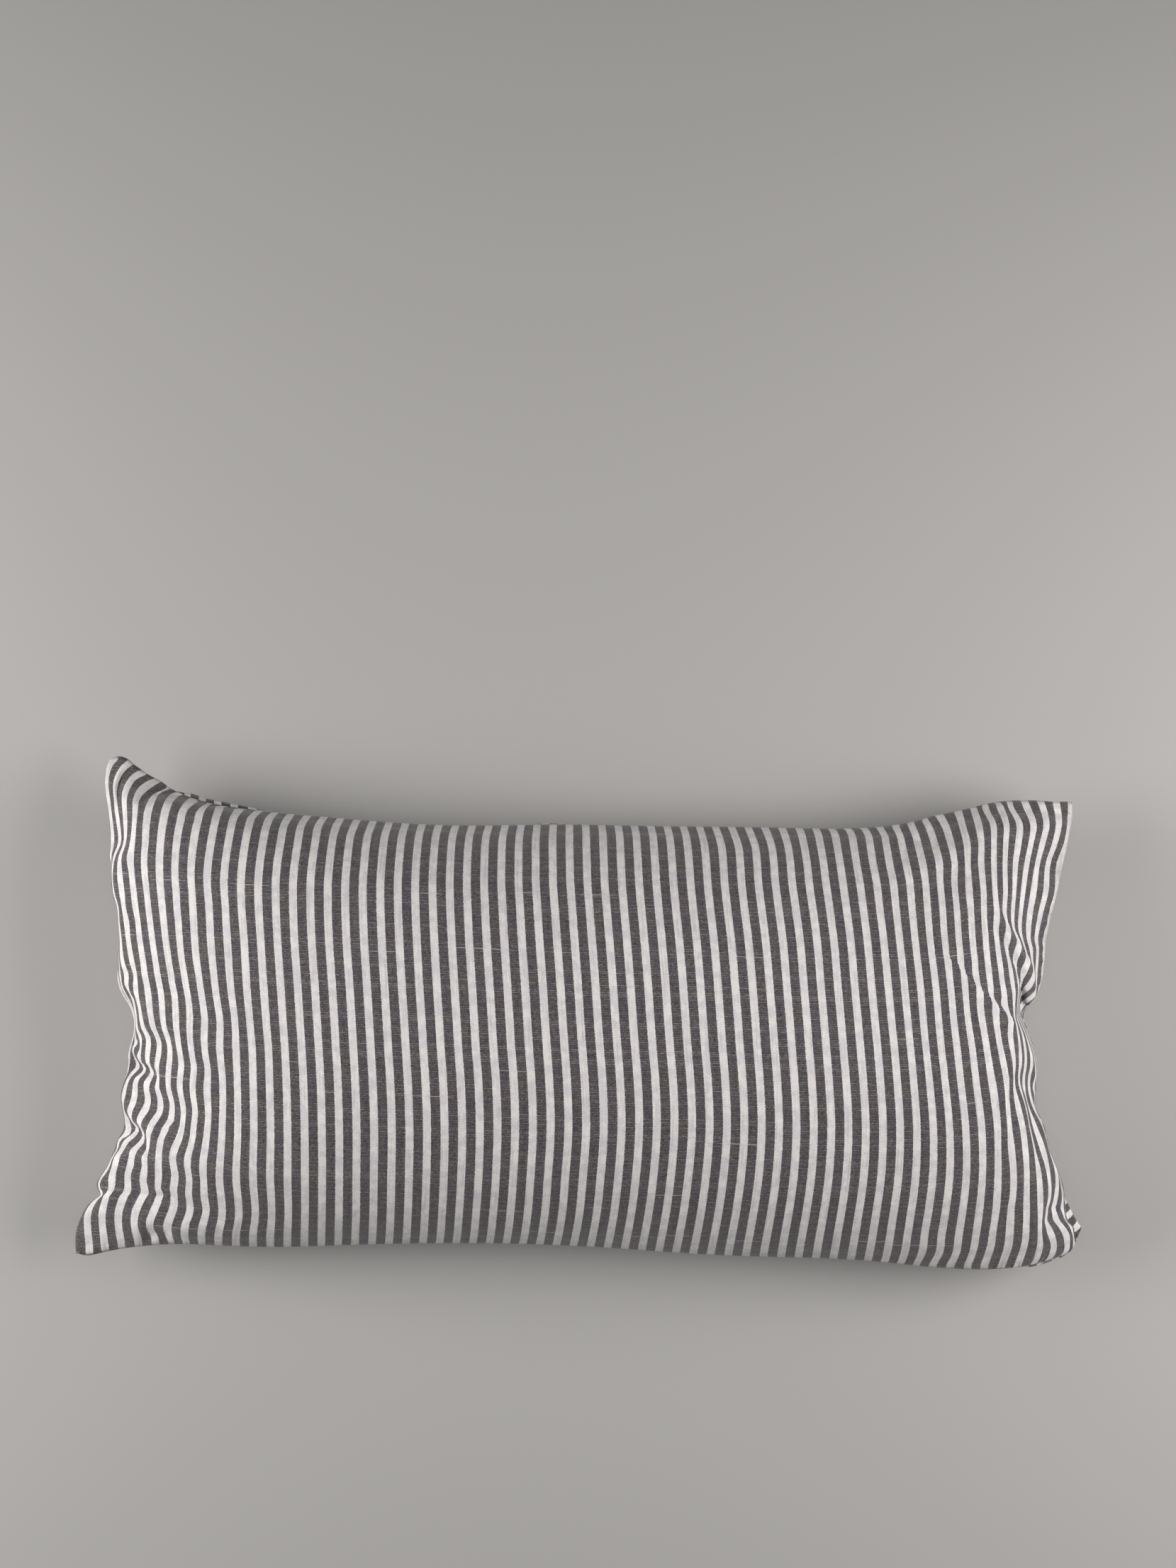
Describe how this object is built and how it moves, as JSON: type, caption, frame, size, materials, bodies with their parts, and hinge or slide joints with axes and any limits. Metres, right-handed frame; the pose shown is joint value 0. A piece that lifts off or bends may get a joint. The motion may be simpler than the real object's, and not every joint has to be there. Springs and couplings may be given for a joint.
{
  "type": "lumbar cushion cover",
  "caption": "Filled rectangular lumbar cushion cover in woven charcoal and off-white ticking stripe, knife-edge seam all round, soft ears, lying on its back.",
  "frame": {"origin": "under the middle of the cushion's outline, on the plane it rests on", "axes": "+X along the long seams, +Y across the face towards the upper long seam, +Z out of the face"},
  "size_m": [0.594, 0.3002, 0.1198],
  "materials": {
    "ticking": "plain-woven yarn-dyed cotton ticking, charcoal and off-white stripes 10 mm apart, matt with a dry hand and small slubs"
  },
  "bodies": {
    "root": {"cushion": "ticking"}
  },
  "joints": []
}
